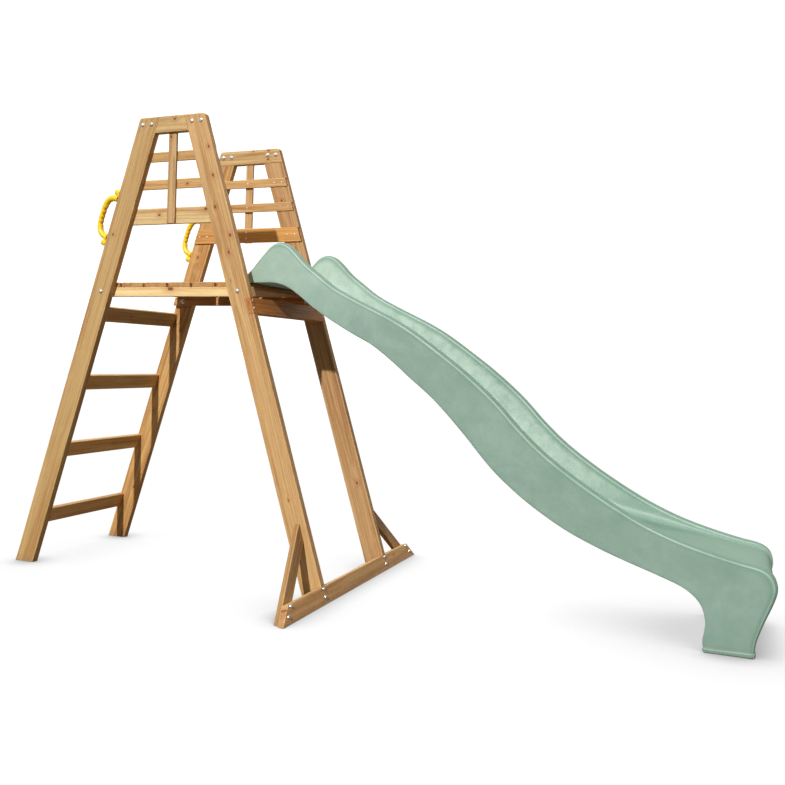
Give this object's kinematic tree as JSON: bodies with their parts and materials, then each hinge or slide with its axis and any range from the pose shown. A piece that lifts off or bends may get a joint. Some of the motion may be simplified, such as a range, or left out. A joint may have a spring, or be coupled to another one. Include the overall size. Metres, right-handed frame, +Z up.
{
  "type": "wave slide",
  "caption": "Timber A-frame climbing tower with a board ladder, slatted deck, yellow grab handles and a moulded plastic wave slide.",
  "frame": {"origin": "on the ground, in the middle of the whole outline seen from above", "axes": "+X down the slide, +Y to the left of someone sliding down, +Z up"},
  "size_m": [2.9938, 1.26, 1.85],
  "materials": {
    "leg_wood": "stained and oiled",
    "rail_wood": "stained and oiled",
    "deck_wood": "stained and oiled",
    "base_wood": "stained and oiled",
    "rung_wood": "stained and oiled",
    "handle_plastic": "semi-gloss",
    "slide_plastic": "satin, faintly mottled",
    "zinc_steel": "zinc plated",
    "dowel_wood": "plain"
  },
  "bodies": {
    "root": {"leg_ladder_near": "leg_wood", "leg_ladder_far": "leg_wood", "leg_slide_near": "leg_wood", "leg_slide_far": "leg_wood", "header_near": "rail_wood", "header_far": "rail_wood", "lattice_slat_upper_near": "rail_wood", "lattice_slat_upper_far": "rail_wood", "lattice_slat_lower_near": "rail_wood", "lattice_slat_lower_far": "rail_wood", "lattice_upright_near": "rail_wood", "lattice_upright_far": "rail_wood", "guard_rail_near": "rail_wood", "guard_rail_far": "rail_wood", "deck_rail_near": "rail_wood", "deck_rail_far": "rail_wood", "deck_board_1": "deck_wood", "deck_board_2": "deck_wood", "deck_board_3": "deck_wood", "deck_board_4": "deck_wood", "deck_board_5": "deck_wood", "deck_board_6": "deck_wood", "cross_board": "base_wood", "rung_1": "rung_wood", "rung_2": "rung_wood", "rung_3": "rung_wood", "rung_4": "rung_wood", "base_board": "base_wood", "base_brace_near": "base_wood", "base_brace_far": "base_wood", "grab_handle_near": "handle_plastic", "grab_handle_far": "handle_plastic", "slide_moulding": "slide_plastic", "header_bolts": "zinc_steel", "header_nuts": "zinc_steel", "deck_rail_bolts": "zinc_steel", "deck_rail_nuts": "zinc_steel", "base_screws": "zinc_steel", "cross_board_screws": "zinc_steel", "lattice_screws": "zinc_steel", "deck_screws": "zinc_steel", "rung_dowels": "dowel_wood", "brace_dowels": "dowel_wood", "handle_screws": "zinc_steel", "slide_screws": "zinc_steel"}
  },
  "joints": []
}
